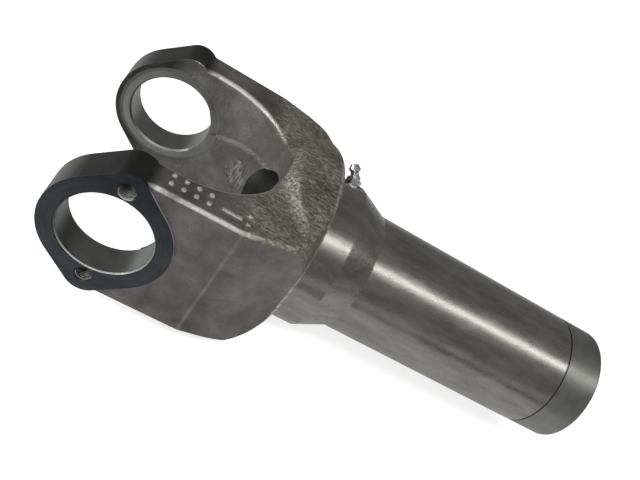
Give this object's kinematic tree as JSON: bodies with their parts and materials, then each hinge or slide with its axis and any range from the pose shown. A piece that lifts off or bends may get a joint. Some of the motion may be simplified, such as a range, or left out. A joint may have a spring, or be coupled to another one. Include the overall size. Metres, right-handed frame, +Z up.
{
  "type": "driveline slip yoke",
  "caption": "Forged steel slip yoke: two bored ears on a round crotch, stout hub, turned collar and long sleeve with an internal spline, dust cap and grease fitting.",
  "frame": {"origin": "where the axis of the cross bore meets the axis of the sleeve, midway between the ears", "axes": "+X along the sleeve, away from the ears; +Y along the cross bore; +Z up, on the side that carries the raised marks and the grease fitting"},
  "size_m": [0.3207, 0.135, 0.0975],
  "materials": {
    "forged_steel": "as-forged scale with machined faces and a turned sleeve",
    "plug_steel": "plain pressed sheet",
    "cap_steel": "satin drawn sheet",
    "seal_rubber": "matte",
    "zinc_plate": "bright zinc plate",
    "ball_steel": "polished"
  },
  "bodies": {
    "root": {"forged_yoke": "forged_steel", "expansion_plug": "plug_steel", "dust_cap": "cap_steel", "seal_ring": "seal_rubber", "grease_fitting": "zinc_plate", "check_ball": "ball_steel"}
  },
  "joints": []
}
